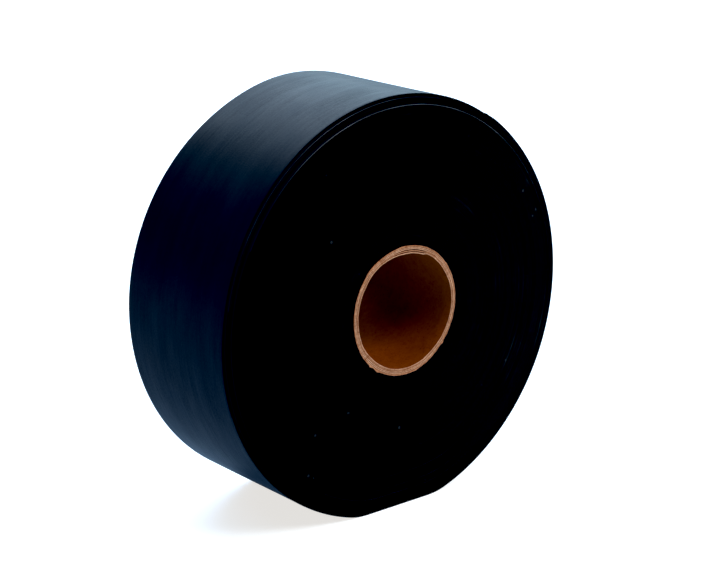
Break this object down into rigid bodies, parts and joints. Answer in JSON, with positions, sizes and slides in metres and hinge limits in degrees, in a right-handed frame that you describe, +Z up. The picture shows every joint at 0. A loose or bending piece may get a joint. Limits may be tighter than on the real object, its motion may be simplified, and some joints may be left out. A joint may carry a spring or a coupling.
{
  "type": "electrical tape roll",
  "caption": "Wide black electrical tape wound on a kraft paper core, standing on its slightly flattened rim, with a free end that peels back.",
  "frame": {"origin": "centre of the core's bore, midway through the roll's width", "axes": "+Y along the bore, away from the front face; +Z up, away from the flat foot the roll stands on"},
  "size_m": [0.138, 0.0508, 0.1359],
  "materials": {
    "tape_backing": "satin black film",
    "tape_adhesive": "glossy black tack",
    "kraft_paper": "uncoated brown kraft"
  },
  "bodies": {
    "roll": {"core_inner_liner": "kraft_paper", "core_ply_2": "kraft_paper", "core_ply_3": "kraft_paper", "core_ply_4": "kraft_paper", "core_outer_ply": "kraft_paper", "tape_first_turn": "tape_backing", "tape_wound_pack": "tape_backing", "tape_slack_turn_3": "tape_backing", "tape_slack_turn_2": "tape_backing", "tape_outer_turn_backing": "tape_backing", "tape_outer_turn_adhesive": "tape_adhesive"},
    "tail_1": {"tail_1_backing": "tape_backing", "tail_1_adhesive": "tape_adhesive"},
    "tail_2": {"tail_2_backing": "tape_backing", "tail_2_adhesive": "tape_adhesive"},
    "tail_3": {"tail_3_backing": "tape_backing", "tail_3_adhesive": "tape_adhesive"},
    "tail_4": {"tail_4_backing": "tape_backing", "tail_4_adhesive": "tape_adhesive"},
    "tail_5": {"tail_5_backing": "tape_backing", "tail_5_adhesive": "tape_adhesive"},
    "tail_6": {"tail_6_backing": "tape_backing", "tail_6_adhesive": "tape_adhesive"}
  },
  "joints": [
    {"name": "tail_peel", "type": "hinge", "parent": "roll", "child": "tail_1", "pos_m": [0.06562, 0, 0.01395], "axis": [0, 1, 0], "range_deg": [0, 60]},
    {"name": "tail_bend_2", "type": "hinge", "parent": "tail_1", "child": "tail_2", "pos_m": [0.06324, 0, 0.02302], "axis": [0, 1, 0], "range_deg": [0, 7.01]},
    {"name": "tail_bend_3", "type": "hinge", "parent": "tail_2", "child": "tail_3", "pos_m": [0.05964, 0, 0.03171], "axis": [0, 1, 0], "range_deg": [0, 7.01]},
    {"name": "tail_bend_4", "type": "hinge", "parent": "tail_3", "child": "tail_4", "pos_m": [0.05488, 0, 0.03987], "axis": [0, 1, 0], "range_deg": [0, 7.01]},
    {"name": "tail_bend_5", "type": "hinge", "parent": "tail_4", "child": "tail_5", "pos_m": [0.04901, 0, 0.04733], "axis": [0, 1, 0], "range_deg": [0, 7.01]},
    {"name": "tail_bend_6", "type": "hinge", "parent": "tail_5", "child": "tail_6", "pos_m": [0.04215, 0, 0.05395], "axis": [0, 1, 0], "range_deg": [0, 7.01]}
  ],
  "couplings": [
    {"joint": "tail_bend_2", "follows": "tail_peel", "ratio": 0.11667},
    {"joint": "tail_bend_3", "follows": "tail_peel", "ratio": 0.11667},
    {"joint": "tail_bend_4", "follows": "tail_peel", "ratio": 0.11667},
    {"joint": "tail_bend_5", "follows": "tail_peel", "ratio": 0.11667},
    {"joint": "tail_bend_6", "follows": "tail_peel", "ratio": 0.11667}
  ]
}
